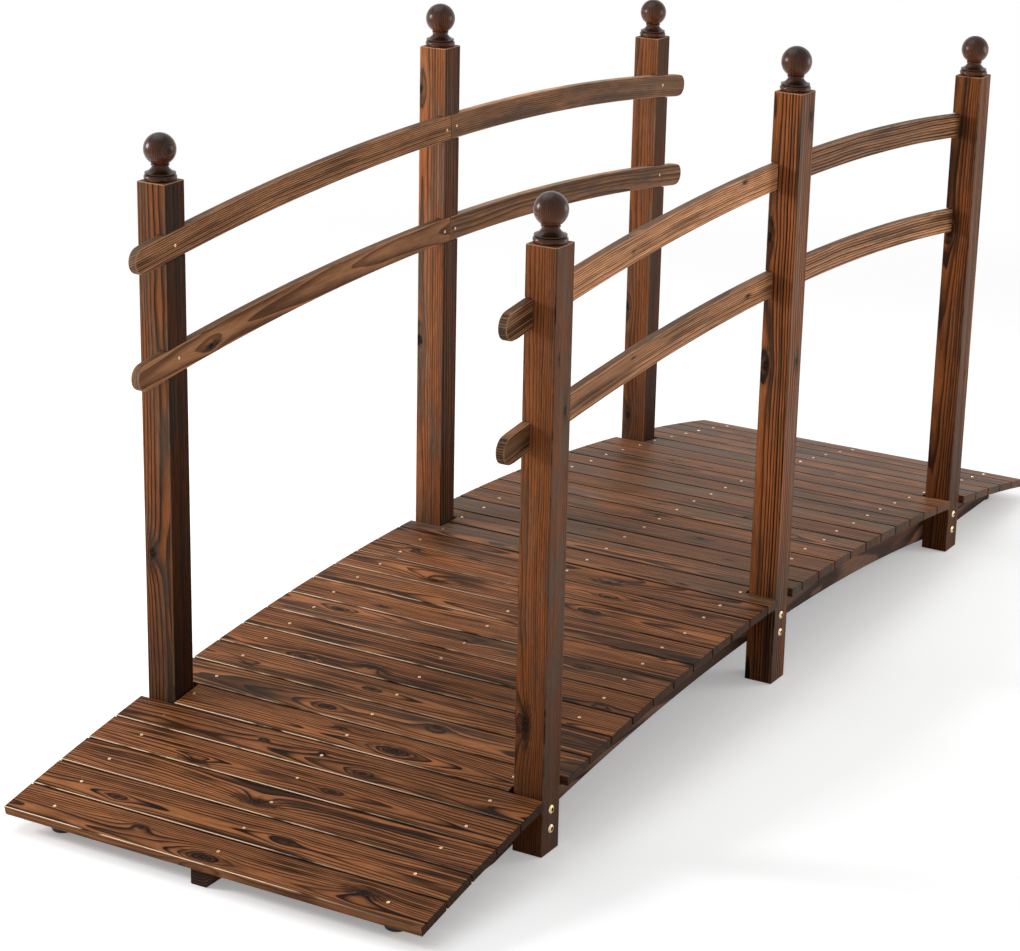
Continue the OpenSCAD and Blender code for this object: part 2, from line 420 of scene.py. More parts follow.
def wood(name, finish):
    """Fir cut from a log: growth rings about the pith, knots, charred rings, fibres, worn edges with a
    painted highlight, and painted shade and sheen.
    """
    material, tree = start_material(name)
    grain = attribute(tree, "grain")
    place = put(tree, "ShaderNodeTexCoord").outputs["Object"]
    fibres = figure(tree, grain, FIBRES)
    patch = fade(tree, figure(tree, grain, CHAR_PATCH), *CHAR_EDGE)
    bent, cores, core_rings, hems = bent_by_growth(tree, grain, finish)
    share, light = ring_light(tree, bent, patch, hems, finish)

    # Colour: stain that takes unevenly with painted shade in it, grey streaks that are partly a painted
    # sheen, worn edges with a painted highlight, and the knots' cores
    mottle = calc(tree, "SUBTRACT", figure(tree, grain, STAIN_MOTTLE), MOTTLE_LIFT)
    deepened = calc(tree, "MULTIPLY_ADD", share, RING_DEEPENS, mottle)
    base = blend_colour(tree, fade(tree, deepened, *DEEP_EDGE), finish.early, finish.deep)
    stained = stain_light(tree, fibres, place, finish)
    shade = dim(tree, blend_colour(tree, light, finish.late, base), stained)
    # Grey: weathering on some faces, a painted sheen on others
    grey = dim(tree, finish.patina[:3], stained)
    greyed = times(tree, attribute(tree, "patina", "Fac"), between(tree, patch, *GREY_STREAKS))
    colour = blend_colour(tree, greyed, shade, grey)
    colour = blend_colour(tree, edge_wear_and_highlight(tree, grain, place, finish), colour, finish.worn)
    colour = blend_colour(tree, cores, colour, blend_colour(tree, core_rings, KNOT_CORE, KNOT_RING))

    # Brushed relief and a satin finish
    height = calc(tree, "MULTIPLY_ADD", light, RING_RELIEF, times(tree, fibres, FIBRE_RELIEF))
    relief = {"Strength": RELIEF_STRENGTH, "Distance": RELIEF_DEPTH, "Height": height}
    gloss = between(tree, fibres, finish.roughness - GLOSS_SPREAD, finish.roughness + GLOSS_SPREAD)
    surface = {
        "Base Color": colour,
        "Roughness": gloss,
        "Normal": put(tree, "ShaderNodeBump", relief).outputs[0],
        "Specular IOR Level": finish.sheen,
        "Coat Weight": finish.coat,
        "Coat Roughness": COAT_ROUGHNESS,
        "Coat IOR": COAT_IOR,
    }
    return close_material(material, surface)


# Pale worn edges on the deck, mostly a painted highlight where the edges face the light
WORN_HIGHLIGHT_EDGE = srgb(240, 206, 174)

deck_wood = wood(
    "carbonised_deck_fir",
    Finish(
        srgb(172, 110, 68), srgb(114, 70, 43), srgb(18, 11, 9), WORN_HIGHLIGHT_EDGE,
        char=0.92, wander=0.007, painted_highlight_side=(-0.32, 0.22), painted_shade_side=(-0.5, 0.05),
    ),
)
post_wood = wood(
    "carbonised_post_fir",
    Finish(
        srgb(161, 92, 48), srgb(107, 59, 30), srgb(18, 11, 8), srgb(206, 166, 130),
        char=0.7, ring=0.0046, sway=0.009, knot_push=1.3, knot_planes=POST_KNOT_PLANES,
        painted_shade_foot=(0.05, 0.5),
    ),
)
rail_wood = wood(
    "carbonised_rail_fir",
    Finish(
        srgb(200, 143, 100), srgb(134, 90, 61), srgb(44, 26, 17), srgb(206, 160, 122),
        char=0.7, ring=0.0042, sway=0.012, knot_push=1.6,
    ),
)
stringer_wood = wood(
    "carbonised_stringer_fir",
    Finish(srgb(122, 88, 70), srgb(92, 64, 51), srgb(32, 22, 17), srgb(128, 92, 72), char=0.5),
)
finial_wood = wood(
    "polished_finial_fir",
    Finish(
        srgb(122, 70, 40), srgb(62, 35, 23), srgb(20, 12, 9), srgb(150, 110, 90),
        char=0.3, ring=0.0020, roughness=0.36, sheen=0.04, coat=0.85,
    ),
)


# Dark recesses of the screw and bolt heads: painted shade
RECESS_SHADE = srgb(44, 30, 21)
TARNISH = Figure(420.0, 420.0)
TARNISH_EDGE = (0.35, 0.7)
BRASS_ROUGHNESS = (0.15, 0.45)


def brass(name, bright, dull):
    """Yellow plated steel, dulled in patches, with painted shade in its recesses."""
    material, tree = start_material(name)
    place = put(tree, "ShaderNodeTexCoord").outputs["Object"]
    tarnish = figure(tree, place, TARNISH)
    colour = blend_colour(tree, fade(tree, tarnish, *TARNISH_EDGE), bright, dull)
    colour = blend_colour(tree, attribute(tree, "recess", "Fac"), colour, RECESS_SHADE)
    roughness = between(tree, tarnish, *BRASS_ROUGHNESS)
    return close_material(material, {"Base Color": colour, "Metallic": 1.0, "Roughness": roughness})


screw_brass = brass("yellow_screw_plate", srgb(252, 228, 190), srgb(206, 166, 118))
bolt_brass = brass("yellow_bolt_plate", srgb(250, 226, 180), srgb(206, 164, 108))


# Boards

@dataclass
class Cut:
    """How a board was sawn: where the pith lies, how the grain leans, ring width, stain and knots."""

    side: float
    heart: float
    lean: float = 0.0
    rings: float = 1.0
    stain: float = 1.0
    lines: float = 1.0
    patina: float = 0.0
    knots: tuple = ()
    shift: float = 0.0


@dataclass
class Look:
    """How one face of a board took the stain, with painted shade and highlight on some faces, shows its
    lines and has greyed, partly as a painted sheen, and the knots it cuts.
    """

    stain: float = 1.0
    lines: float = 1.0
    patina: float = 0.0
    knots: tuple = KNOT_PLANES


NO_KNOT = (9.0, 9.0, 0.0)
NO_KNOTS = (NO_KNOT,) * len(KNOTS)
PLAIN_LOOK = Look()


def start_board():
    """An empty mesh with what the wood reads from each board."""
    bm = bmesh.new()
    for name in ("grain", *KNOTS):
        bm.verts.layers.float_vector.new(name)
    for name in ("stain", "lines", "patina", "worn", *(f"{plane}_knots" for plane in KNOT_PLANES)):
        bm.faces.layers.float.new(name)
    return bm


ROUND_PROFILE = 0.5


def ease(bm, edges, width, worn=0.0, segments=2):
    """Rounds edges over and marks how far they are worn and given a painted highlight."""
    made = bmesh.ops.bevel(
        bm, geom=edges, offset=width, offset_type="OFFSET", segments=segments, profile=ROUND_PROFILE,
        affect="EDGES", material=-1, clamp_overlap=True,
    )
    layer = bm.faces.layers.float["worn"]
    for face in made["faces"]:
        face[layer] = worn
    return made["faces"]


def face_outward(bm):
    """Turns all faces of a mesh to the outside."""
    bmesh.ops.recalc_face_normals(bm, faces=bm.faces)


def new_points(made):
    """The points among what an operator made."""
    return [part for part in made["geom"] if isinstance(part, bmesh.types.BMVert)]


def sharp_edges(bm, least=SHARP_TURN):
    """Edges at which the surface turns by more than so many degrees."""
    return [e for e in bm.edges if e.is_manifold and e.calc_face_angle() > math.radians(least)]


def lay_grain(bm, cut, local, look_of, knot_planes=FLAT_KNOT_PLANES):
    """Gives each point its place in the log and the board's knots, and each face its look."""
    grain = bm.verts.layers.float_vector["grain"]
    stain, lines, patina = (bm.faces.layers.float[name] for name in ("stain", "lines", "patina"))

    def in_log(along, across, depth):
        """Place in the log of a point in the board."""
        return cut.rings * Vector(
            (along + cut.shift, across - cut.side, depth - cut.heart + cut.lean * along)
        )

    for vert in bm.verts:
        vert[grain] = in_log(*local(vert.co))
    for name, plane, (along, other, size) in zip(KNOTS, knot_planes, (*cut.knots, *NO_KNOTS)):
        layer = bm.verts.layers.float_vector[name]
        centre = in_log(along, other, other)
        place = (centre.x, centre.y if plane == "across" else centre.z, size * cut.rings)
        for vert in bm.verts:
            vert[layer] = place
    for face in bm.faces:
        look = look_of(face)
        face[stain] = cut.stain * look.stain
        face[lines] = cut.lines * look.lines
        face[patina] = 1 - (1 - cut.patina) * (1 - look.patina)
        for plane in KNOT_PLANES:
            face[bm.faces.layers.float[f"{plane}_knots"]] = float(plane in look.knots)


def add_board(piece, board):
    """Moves a finished board's mesh into a piece."""
    mesh = bpy.data.meshes.new("board")
    board.to_mesh(mesh)
    board.free()
    piece.from_mesh(mesh)
    bpy.data.meshes.remove(mesh)


def add_object(bm, name, material):
    """Puts a finished mesh into the scene as an object."""
    mesh = bpy.data.meshes.new(name)
    bm.to_mesh(mesh)
    bm.free()
    mesh.materials.append(material)
    made = bpy.data.objects.new(name, mesh)
    scene.collection.objects.link(made)
    return made


def place_piece(bm, name, material, slot, *nodes):
    """Makes a piece, which rides on the frame and stands for its nodes."""
    piece = add_object(bm, name, material)
    piece.data.polygons.foreach_set("use_smooth", [True] * len(piece.data.polygons))
    piece.data.set_sharp_from_angle(angle=math.radians(SMOOTH_TURN))
    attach(piece, "root")
    if nodes:
        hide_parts(*nodes)


# Deck

def plank_place(step):
    """Where a plank's top middle lies on the arch, and its tilt."""
    angle = (step + 0.5) * PITCH / DECK_RADIUS
    return (
        Matrix.Translation((0, 0, DECK_CENTRE))
        @ Matrix.Rotation(angle, 4, "Y")
        @ Matrix.Translation((0, 0, DECK_RADIUS))
    )


def plank_outline(length, notch_side):
    """Corners of a plank seen from above, with both ends notched for the middle posts on one edge."""
    half, end = PLANK_WIDTH / 2, length / 2
    if not notch_side:
        return [(-half, -end), (half, -end), (half, end), (-half, end)]
    inner = WALKWAY / 2 - POST_CLEARANCE
    edge = POST_SIZE / 2 + POST_CLEARANCE - PITCH / 2
    corners = [
        (half, -end), (half, end), (edge, end), (edge, inner),
        (-half, inner), (-half, -inner), (edge, -inner), (edge, -end),
    ]
    return [(x * notch_side, y) for x, y in corners]


def plank(step, length, cut, wear_and_highlight, notch_side=0):
    """One straight plank with eased edges, laid on the arch."""
    bm = start_board()
    corners = [bm.verts.new((x, y, -PLANK_THICK)) for x, y in plank_outline(length, notch_side)]
    base = bm.faces.new(corners)
    top = bmesh.ops.extrude_face_region(bm, geom=[base])
    bmesh.ops.translate(bm, verts=new_points(top), vec=(0, 0, PLANK_THICK))
    face_outward(bm)
    upper = [e for e in bm.edges if all(v.co.z > -TOUCH for v in e.verts)]
    eased = ease(bm, upper, PLANK_EDGE)
    worn = bm.faces.layers.float["worn"]
    # Noses that face the front take wear and a painted highlight
    for face in eased:
        if face.normal.x < -TILTED:
            face[worn] = wear_and_highlight
    ease(bm, sharp_edges(bm, SQUARE_TURN), SAWN_EDGE)

    lay_grain(bm, cut, lambda co: (co.y, co.x, co.z), lambda face: plank_look(face, step))
    bmesh.ops.transform(bm, matrix=plank_place(step), verts=bm.verts)
    return bm


@dataclass
class Stretch:
    """How the planks of one stretch of the deck have taken the stain and weathered, with painted light laid
    over: a painted sheen, painted edge highlights and painted shade on the sawn ends.
    """

    stain: float
    lines: float
    patina: tuple
    wear_and_highlight: float
    shaded_sawn_end: Look


# Stretches of the deck: the far half greyer as a painted sheen, the ramp and near bay with painted edge
# highlights, and sawn ends darker as end grain and more so nearer the front as painted shade
RAMP = Stretch(1.0, 1.0, (), 2.4, Look(stain=0.2, lines=0.8, patina=0.25))
NEAR_BAY = Stretch(0.92, 0.95, (0, 0.14), 1.0, Look(stain=0.34, lines=0.8, patina=0.3))
FAR_HALF = Stretch(0.97, 1.1, (0.25, 0.6), 0.0, Look(stain=0.55, lines=0.8, patina=0.35))
# Noses and edge faces at the gaps darkened as painted shade; the outer edge faces of the end planks stay
# light
SHADED_PLANK_NOSE = Look(stain=0.16, lines=0.5)
SHADED_GAP_FACE = Look(stain=0.4, lines=0.4)
FRONT_FACE = Look(stain=0.82, lines=0.4, patina=0.25)
# Steps from the crest over which the wear and painted highlight grow to full
WEAR_HIGHLIGHT_TAPER = 6


def stretch_of(step):
    """Which stretch of the deck a plank lies in."""
    if step < -POST_STEP:
        return RAMP
    return NEAR_BAY if step < -1 else FAR_HALF


def plank_look(face, step):
    """What a face of a plank looks like, by the way it faces, with painted shade on its noses and at the
    gaps.
    """
    if abs(face.normal.y) > FACING:
        return stretch_of(step).shaded_sawn_end
    if abs(face.normal.x) > TILTED:
        end_plank = step in (-PLANKS_PER_HALF, PLANKS_PER_HALF - 1)
        edge_face = FRONT_FACE if end_plank else SHADED_GAP_FACE
        return SHADED_PLANK_NOSE if face.normal.z > TILTED else edge_face
    return PLAIN_LOOK


# Chance in a plank: its place in the log, rings and stain, and a knot in each third of its length
PLANK_SIDE = (0.004, 0.042)
PLANK_HEART = (0.008, 0.036)
PLANK_LEAN = (0.004, 0.03)
PLANK_RINGS = (0.85, 1.2)
PLANK_STAIN = (0.8, 1.12)
LOG_SHIFT = (2, 40)
KNOT_THIRDS = (-0.33, -0.11, 0.11)
KNOT_THIRD = 0.22
KNOT_STRAY = 0.024
KNOT_SIZES = (0.0, 0.0, 0.003, 0.005)

# Knots seen on the near planks: distance across the bridge, along it, and size
PLANK_KNOTS = {
    -17: ((0.139, 0.007, 0.004), (0.012, -0.017, 0.0065), (-0.246, 0.004, 0.007)),
    -16: ((0.219, -0.012, 0.004), (-0.071, -0.004, 0.004)),
    -15: ((0.022, -0.007, 0.007),),
    -14: ((0.168, -0.022, 0.005), (-0.067, -0.009, 0.004)),
    -13: ((0.110, 0.005, 0.002), (0.007, 0.010, 0.002), (-0.080, -0.016, 0.004)),
    -12: ((-0.089, -0.009, 0.007), (0.020, 0.014, 0.003)),
    -11: ((0.078, -0.008, 0.005), (-0.110, 0.010, 0.005)),
}


def either_way(least, most):
    """A chance distance to one side or the other."""
    return rng.choice((-1, 1)) * rng.uniform(least, most)


def plank_cut(step):
    """A flat-sawn plank, each from its own place in a log."""
    part = stretch_of(step)
    chance_knots = [
        (rng.uniform(low, low + KNOT_THIRD), rng.uniform(-KNOT_STRAY, KNOT_STRAY), rng.choice(KNOT_SIZES))
        for low in KNOT_THIRDS
    ]
    return Cut(
        side=either_way(*PLANK_SIDE),
        heart=either_way(*PLANK_HEART),
        lean=either_way(*PLANK_LEAN),
        rings=rng.uniform(*PLANK_RINGS),
        stain=rng.uniform(*PLANK_STAIN) * part.stain,
        lines=part.lines,
        patina=rng.uniform(*part.patina) if part.patina else 0.0,
        knots=PLANK_KNOTS.get(step, chance_knots),
        shift=rng.uniform(*LOG_SHIFT),
    )


DECK_NODES = {
    "near_ramp_planks": range(-PLANKS_PER_HALF, -POST_STEP - 1),
    "near_post_plank": range(-POST_STEP - 1, -POST_STEP),
    "near_bay_planks": range(-POST_STEP, -1),
    "mid_post_planks": range(-1, 1),
    "far_bay_planks": range(1, POST_STEP),
    "far_post_plank": range(POST_STEP, POST_STEP + 1),
    "far_ramp_planks": range(POST_STEP + 1, PLANKS_PER_HALF),
}
SHORT_NODES = ("near_post_plank", "far_post_plank")
NOTCH_SIDES = {-1: -1, 0: 1}

for node, steps in DECK_NODES.items():
    piece = start_board()
    for step in steps:
        length = SHORT_PLANK if node in SHORT_NODES else DECK_WIDTH
        notch_side = NOTCH_SIDES.get(step, 0)
        wear_and_highlight = stretch_of(step).wear_and_highlight * min(1, abs(step) / WEAR_HIGHLIGHT_TAPER)
        add_board(piece, plank(step, length, plank_cut(step), wear_and_highlight, notch_side))
    place_piece(piece, f"{node}_timber", deck_wood, "deck_wood", node)


# Stringers

def cut_square(bm, point, outward):
    """Saws off what lies past a plane and closes the cut."""
    whole = [*bm.verts, *bm.edges, *bm.faces]
    made = bmesh.ops.bisect_plane(bm, geom=whole, plane_co=point, plane_no=outward, clear_outer=True)
    bmesh.ops.holes_fill(bm, edges=[e for e in made["geom_cut"] if isinstance(e, bmesh.types.BMEdge)])


def arched_bar(bm, y_low, y_high, centre_z, top_r, low_r, start, end, steps):
    """A bar of oblong section bent round an arch, between two angles from the crown."""
    section = [(y_low, low_r), (y_high, low_r), (y_high, top_r), (y_low, top_r)]
    corners = [
        bm.verts.new((r * math.sin(start), y, centre_z + r * math.cos(start))) for y, r in section
    ]
    face = bm.faces.new(corners)
    bmesh.ops.spin(
        bm, geom=[face], cent=(0, 0, centre_z), axis=(0, 1, 0), angle=end - start, steps=steps,
    )
    face_outward(bm)


STRINGER_END = Look(stain=0.35, patina=0.12)
STRINGER_CUT = Cut(side=0.09, heart=0.02, lean=0.004)
STRINGER_STAIN = (0.85, 1.0)
STRINGER_WEAR = 0.3
STRINGER_STEPS = 96


def stringer(node):
    """An arched stringer, sawn level at the ground and square at its ends."""
    low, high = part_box(node)
    bm = start_board()
    reach = math.asin((high.x + STRINGER_DEPTH) / STRINGER_TOP_R)
    arched_bar(
        bm, low.y, high.y, DECK_CENTRE, STRINGER_TOP_R, STRINGER_TOP_R - STRINGER_DEPTH,
        -reach, reach, STRINGER_STEPS,
    )
    cut_square(bm, (0, 0, 0), (0, 0, -1))
    cut_square(bm, (high.x, 0, 0), (1, 0, 0))
    cut_square(bm, (low.x, 0, 0), (-1, 0, 0))
    face_outward(bm)
    ease(bm, sharp_edges(bm), RAIL_EDGE, worn=STRINGER_WEAR)
    cut = replace(STRINGER_CUT, stain=rng.uniform(*STRINGER_STAIN), shift=rng.uniform(*LOG_SHIFT))
    lay_grain(
        bm, cut, lambda co: (co.x, co.z, co.y),
        lambda face: STRINGER_END if abs(face.normal.x) > FACING else PLAIN_LOOK,
    )
    place_piece(bm, f"{node}_timber", stringer_wood, "stringer_wood", node)


for node in ("left_stringer", "middle_stringer", "right_stringer"):
    stringer(node)


# Posts

def rail_height(crown, x, radius):
    """Height of a rail's upper or lower edge at a distance from the middle of the bridge."""
    return crown - RAIL_RADIUS + math.sqrt(radius * radius - x * x)


# Wear with a painted highlight on the posts' eased upright and end edges
POST_WEAR_AND_HIGHLIGHT = 0.15
POST_END_WEAR_AND_HIGHLIGHT = 0.5


def post(end, side, cut):
    """A square post, notched on its inner face for the two rails."""
    node = f"{end}_{side}_post"
    low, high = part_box(node)
    inner = WALKWAY / 2
    rail_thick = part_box("far_left_upper_rail")[1].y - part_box("far_left_upper_rail")[0].y
    seat, outer = inner + rail_thick, inner + POST_SIZE
    sign = SIDES[side]

    def outline(x):
        """Corners of the post's section across the bridge, from the foot up the inner face."""
        points = [(inner, low.z)]
        for crown in (LOWER_RAIL_CROWN, UPPER_RAIL_CROWN):
            under = rail_height(crown, x, RAIL_RADIUS - RAIL_DEPTH - RAIL_FIT)
            over = rail_height(crown, x, RAIL_RADIUS + RAIL_FIT)
            points += [(inner, under), (seat, under), (seat, over), (inner, over)]
        points += [(inner, high.z), (outer, high.z), (outer, low.z)]
        return [Vector((x, sign * y, z)) for y, z in points]

    bm = start_board()
    near_face = bm.faces.new([bm.verts.new(co) for co in outline(low.x)])
    made = bmesh.ops.extrude_face_region(bm, geom=[near_face])
    pairs = list(zip(outline(low.x), outline(high.x)))
    for vert in new_points(made):
        vert.co = min(pairs, key=lambda pair: (pair[0] - vert.co).length)[1]
    face_outward(bm)
    upright = [
        e for e in bm.edges
        if abs(e.verts[0].co.x - e.verts[1].co.x) < TOUCH
        and abs(e.verts[0].co.y - e.verts[1].co.y) < TOUCH
        and abs(abs(e.verts[0].co.y) - seat) > SLACK
    ]
    ease(bm, upright, POST_EDGE, worn=POST_WEAR_AND_HIGHLIGHT)
    ends = [
        e for e in sharp_edges(bm)
        if all(v.co.z > high.z - TOUCH for v in e.verts) or all(v.co.z < low.z + TOUCH for v in e.verts)
    ]
    ease(bm, ends, POST_TOP_EDGE, worn=POST_END_WEAR_AND_HIGHLIGHT)
    middle = Vector(((low.x + high.x) / 2, (low.y + high.y) / 2, 0))
    lay_grain(
        bm, cut, lambda co: (co.z, co.y - middle.y, co.x - middle.x),
        lambda face: post_look(face, end, side), POST_KNOT_PLANES,
    )
    place_piece(bm, f"{node}_timber", post_wood, "post_wood", node)


# Looks of the posts' faces: walkway side, darker on the left posts partly as painted shade, outer side,
# greyed partly as a painted sheen, and the eased corners between
SHADED_INNER_LOOKS = {
    "near": Look(stain=0.42, lines=1.1, knots=("depth",)),
    "mid": Look(stain=0.53, lines=1.5, patina=0.05, knots=("depth",)),
    "far": Look(stain=0.52, lines=1.4, patina=0.1, knots=("depth",)),
}
# Outer faces: grey partly from weathering and partly a painted sheen
OUTER_SHEEN_LOOKS = {
    "near": Look(stain=0.85, lines=1.3, patina=0.35, knots=("depth",)),
    "mid": Look(stain=1.15, lines=1.1, patina=0.3, knots=("depth",)),
    "far": Look(stain=1.1, lines=1.2, patina=0.25, knots=("depth",)),
}
ACROSS_LOOK = Look(knots=("across",))
# Eased corners: lighter and greyer on the left posts as a painted highlight, darker on the right posts
CORNER_LOOKS = {"left": Look(stain=1.2, lines=0.3, patina=0.4), "right": Look(stain=0.25)}


def post_look(face, end, side):
    """What a face of a post looks like, by the way it faces, with painted shade, sheen and highlight on some
    faces.
    """
    inward = -face.normal.y * SIDES[side]
    if abs(face.normal.x) > TILTED and abs(face.normal.y) > TILTED:
        return CORNER_LOOKS[side]
    if inward > FACING and side == "left":
        return SHADED_INNER_LOOKS[end]
    if inward < -FACING:
        return OUTER_SHEEN_LOOKS[end]
    return ACROSS_LOOK if abs(face.normal.x) > FACING else PLAIN_LOOK


POST_CUTS = {
    ("near", "left"): Cut(
        side=-0.034, heart=0.060, lean=0.002, rings=1.5, stain=0.89, lines=1.2, patina=0.32, shift=3.1,
        knots=((0.334, 0.0105, 0.006),),
    ),
    ("near", "right"): Cut(
        side=0.040, heart=0.050, lean=-0.002, rings=2.2, stain=0.96, lines=0.5, patina=0.2, shift=11.7,
        knots=((0.204, 0.0075, 0.006), NO_KNOT, (0.674, 0.009, 0.004), (0.753, -0.012, 0.002)),
    ),
    ("mid", "left"): Cut(
        side=0.018, heart=-0.036, lean=0.010, rings=1.15, stain=1.3, lines=0.85, patina=0.3, shift=21.3,
        knots=((0.489, 0.0205, 0.006), (0.93, 0.024, 0.005)),
    ),
    ("mid", "right"): Cut(
        side=0.020, heart=-0.036, lean=0.008, rings=1.0, stain=1.16, lines=1.15, patina=0.1, shift=27.9,
        knots=((0.767, 0.0195, 0.005), (0.554, 0.0145, 0.006), (0.962, 0.012, 0.005), (0.559, 0.009, 0.004)),
    ),
    ("far", "left"): Cut(
        side=0.030, heart=0.040, lean=-0.003, rings=1.6, stain=0.89, lines=0.4, patina=0.3, shift=33.4,
        knots=((0.378, 0.0225, 0.005), (0.153, 0.0115, 0.005)),
    ),
    ("far", "right"): Cut(
        side=0.020, heart=0.032, lean=0.010, rings=1.7, stain=0.84, lines=0.85, patina=0.08, shift=38.2,
        knots=((0.62, 0.014, 0.005), NO_KNOT, (0.35, 0.006, 0.003)),
    ),
}

for (end, side), cut in POST_CUTS.items():
    post(end, side, cut)


# Finials

RING_TOP = 0.0100
RING_RADIUS = 0.0248
GROOVE_TOP = 0.01075
GROOVE_RADIUS = 0.0218
LIP_TOP = 0.0120
LIP_RADIUS = 0.0233
FLARE_TOP = 0.02025
NECK_RADIUS = 0.0125
NECK_TOP = 0.02175
BEAD_TOP = 0.0250
BEAD_RADIUS = 0.0139
BALL_RADIUS = 0.0245
BALL_HEIGHT = FINIAL_TOP - BALL_RADIUS
FLARE_HOLLOW = 1.2
RING_STEPS = 10
FLARE_STEPS = 8
BEAD_STEPS = 8
BALL_STEPS = 24
BEAD_TURN = 80
BALL_TURN = 89.9
FINIAL_TURNS = 64


def turn_on_lathe(bm, profile, turns):
    """Adds what a half outline makes when it is turned about the upright axis, and gives its points."""
    before = set(bm.verts)
    points = [bm.verts.new((r, 0, z)) for r, z in profile]
    edges = [bm.edges.new(pair) for pair in zip(points, points[1:])]
    bmesh.ops.spin(
        bm, geom=points + edges, cent=(0, 0, 0), axis=(0, 0, 1), angle=math.tau, steps=turns, use_merge=True,
    )
    bmesh.ops.remove_doubles(bm, verts=[v for v in bm.verts if v not in before], dist=TOUCH)
    return [v for v in bm.verts if v not in before]


def bow(centre, radius, start, end, count):
    """Points along a part of a circle, in degrees from the finial's outward direction."""
    angles = [math.radians(start + (end - start) * i / count) for i in range(count + 1)]
    return [(centre[0] + radius * math.cos(a), centre[1] + radius * math.sin(a)) for a in angles]


def finial_profile():
    """Half outline of a finial, from the foot's middle up to the ball's top."""
    ring_half = RING_TOP / 2
    bead_half = (BEAD_TOP - NECK_TOP) / 2
    span = Vector((NECK_RADIUS - LIP_RADIUS, FLARE_TOP - LIP_TOP))
    flare_r = span.length * FLARE_HOLLOW
    offset = math.sqrt(flare_r**2 - span.length**2 / 4)
    middle = Vector((LIP_RADIUS, LIP_TOP)) + span / 2
    centre = middle + Vector((span.y, -span.x)).normalized() * offset
    first = math.degrees(math.atan2(LIP_TOP - centre.y, LIP_RADIUS - centre.x))
    last = math.degrees(math.atan2(FLARE_TOP - centre.y, NECK_RADIUS - centre.x))
    first, last = first % 360, last % 360
    low_turn = math.degrees(math.asin((BEAD_TOP - BALL_HEIGHT) / BALL_RADIUS))
    return [
        (0, 0),
        *bow((RING_RADIUS - ring_half, ring_half), ring_half, -90, 90, RING_STEPS),
        (GROOVE_RADIUS, RING_TOP),
        (GROOVE_RADIUS, GROOVE_TOP),
        (LIP_RADIUS, GROOVE_TOP),
        *bow(centre, flare_r, first, last, FLARE_STEPS),
        (NECK_RADIUS, NECK_TOP),
        *bow((BEAD_RADIUS - bead_half, NECK_TOP + bead_half), bead_half, -BEAD_TURN, BEAD_TURN, BEAD_STEPS),
        *bow((0, BALL_HEIGHT), BALL_RADIUS, low_turn, BALL_TURN, BALL_STEPS),
        (0, BALL_HEIGHT + BALL_RADIUS),
    ]


# Chance in a finial: its place in the log, lean and stain, and how its lines show, and its stain with
# painted shade on top and a painted reflection below
FINIAL_SIDE = (0.012, 0.024)
FINIAL_HEART = (-0.03, -0.01)
FINIAL_LEAN = (-0.03, 0.03)
FINIAL_STAINS = (0.9, 1.1)
FINIAL_LINES = {("near", "left"): 1.0, ("near", "right"): 0.1}
FINIAL_PLAIN_LINES = 0.5
FINIAL_STAIN = 0.75
FINIAL_TOP_SHADE = 0.6


def finial(end, side):
    """A turned ball finial on a post."""
    node = f"{end}_{side}_finial"
    low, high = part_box(node)
    middle = (low + high) / 2
    bm = start_board()
    turn_on_lathe(bm, finial_profile(), FINIAL_TURNS)
    face_outward(bm)
    bmesh.ops.translate(bm, verts=bm.verts, vec=(middle.x, middle.y, low.z))
    cut = Cut(
        side=rng.uniform(*FINIAL_SIDE),
        heart=rng.uniform(*FINIAL_HEART),
        lean=rng.uniform(*FINIAL_LEAN),
        stain=rng.uniform(*FINIAL_STAINS),
        lines=FINIAL_LINES.get((end, side), FINIAL_PLAIN_LINES),
        shift=rng.uniform(*LOG_SHIFT),
    )
    # Faces darker the more they face up and lighter the more they face down: painted shade on top and a
    # painted reflection below
    lay_grain(
        bm, cut, lambda co: (co.z, co.y - middle.y, co.x - middle.x),
        lambda face: Look(stain=FINIAL_STAIN - FINIAL_TOP_SHADE * face.normal.z),
    )
    place_piece(bm, f"{node}_timber", finial_wood, "finial_wood", node)


for end in ENDS:
    for side in SIDES:
        finial(end, side)


# Handrails

# Rounded free end: radius and taper above and below, in metres, and slack of its edges in radians
NOSE_OVER = 0.0195
NOSE_UNDER = 0.0160
TAPER_OVER = 0.0015
TAPER_UNDER = 0.0035
NOSE_OVER_STEPS = 7
NOSE_UNDER_STEPS = 6
END_SLACK = 2e-4
RAIL_STEPS = 32
# Wear with a painted highlight on the rails' eased edges
RAIL_WEAR_AND_HIGHLIGHT = 0.45


